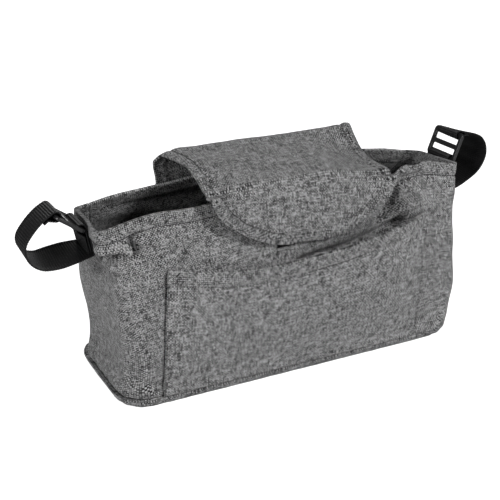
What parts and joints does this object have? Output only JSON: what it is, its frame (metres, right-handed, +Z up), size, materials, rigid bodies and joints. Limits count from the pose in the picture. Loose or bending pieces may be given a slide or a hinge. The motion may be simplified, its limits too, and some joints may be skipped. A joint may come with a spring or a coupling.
{
  "type": "stroller organizer bag",
  "caption": "Soft open-topped organizer bag in grey cloth with a front pocket, a fold-over flap and a buckled webbing loop at each end for a pushchair handle.",
  "frame": {"origin": "centre of the flat underside of the base panel", "axes": "+X along the bag, +Z up, and the front with the pocket and the flap's tongue faces -Y"},
  "size_m": [0.4443, 0.145, 0.2031],
  "materials": {
    "heather_cloth": "mid-grey heather weave, matt",
    "board": "plain matt sheet",
    "webbing": "black ribbed webbing",
    "buckle_plastic": "black satin moulding",
    "hook_and_loop": "black hook-and-loop tape"
  },
  "bodies": {
    "root": {"base_panel": "heather_cloth", "base_board": "board", "body_panel": "heather_cloth", "back_panel": "heather_cloth", "front_pocket": "heather_cloth", "flap": "heather_cloth", "front_loop_patch": "hook_and_loop", "flap_hook_patch": "hook_and_loop", "left_strap": "webbing", "left_buckle_tab": "webbing", "left_buckle": "buckle_plastic", "right_strap": "webbing", "right_buckle_tab": "webbing", "right_buckle": "buckle_plastic"}
  },
  "joints": []
}
